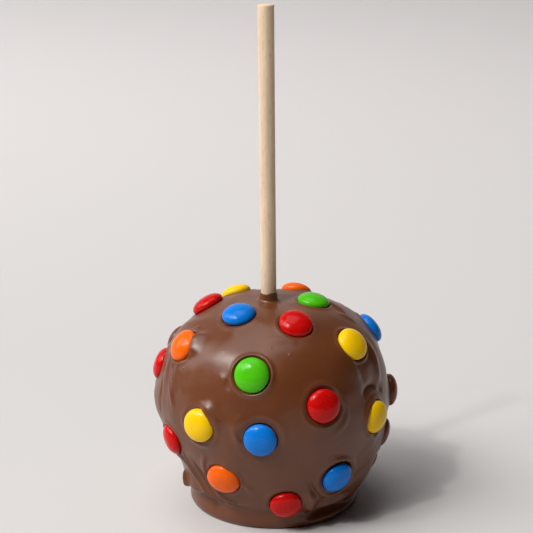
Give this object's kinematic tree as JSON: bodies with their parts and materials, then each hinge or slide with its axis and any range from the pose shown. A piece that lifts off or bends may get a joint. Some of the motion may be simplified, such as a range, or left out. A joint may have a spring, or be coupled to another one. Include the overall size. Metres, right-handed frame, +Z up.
{
  "type": "chocolate covered apple",
  "caption": "Whole apple dipped in milk chocolate, studded with coloured sugar-shelled chocolate lentils, on a straight wooden stick and standing on its flat set foot.",
  "frame": {"origin": "centre of the flat foot of the coat, on the surface the apple stands on", "axes": "+Z up along the apple and its stick, -Y towards the front, +X to the right seen from the front"},
  "size_m": [0.1018, 0.1027, 0.207],
  "materials": {
    "chocolate": "semi-gloss set milk chocolate",
    "stick_wood": "plain sanded birch",
    "shell_red": "polished sugar shell",
    "shell_orange": "polished sugar shell",
    "shell_yellow": "polished sugar shell",
    "shell_green": "polished sugar shell",
    "shell_blue": "polished sugar shell",
    "shell_brown": "polished sugar shell"
  },
  "bodies": {
    "root": {"coated_apple": "chocolate", "lentil_01_yellow": "shell_yellow", "lentil_02_red": "shell_red", "lentil_03_blue": "shell_blue", "lentil_04_orange": "shell_orange", "lentil_05_green": "shell_green", "lentil_06_red": "shell_red", "lentil_07_blue": "shell_blue", "lentil_08_yellow": "shell_yellow", "lentil_09_orange": "shell_orange", "lentil_10_brown": "shell_brown", "lentil_11_red": "shell_red", "lentil_12_green": "shell_green", "lentil_13_red": "shell_red", "lentil_14_brown": "shell_brown", "lentil_15_yellow": "shell_yellow", "lentil_16_yellow": "shell_yellow", "lentil_17_blue": "shell_blue", "lentil_18_red": "shell_red", "lentil_19_brown": "shell_brown", "lentil_20_orange": "shell_orange", "lentil_21_blue": "shell_blue", "lentil_22_brown": "shell_brown", "lentil_23_brown": "shell_brown", "lentil_24_red": "shell_red", "lentil_25_orange": "shell_orange", "lentil_26_green": "shell_green", "lentil_27_blue": "shell_blue", "lentil_28_yellow": "shell_yellow", "lentil_29_brown": "shell_brown", "lentil_30_green": "shell_green", "lentil_31_red": "shell_red", "lentil_32_blue": "shell_blue", "lentil_33_orange": "shell_orange", "lentil_34_green": "shell_green", "lentil_35_blue": "shell_blue", "lentil_36_yellow": "shell_yellow", "lentil_37_brown": "shell_brown", "lentil_38_green": "shell_green", "lentil_39_red": "shell_red", "stick": "stick_wood"}
  },
  "joints": []
}
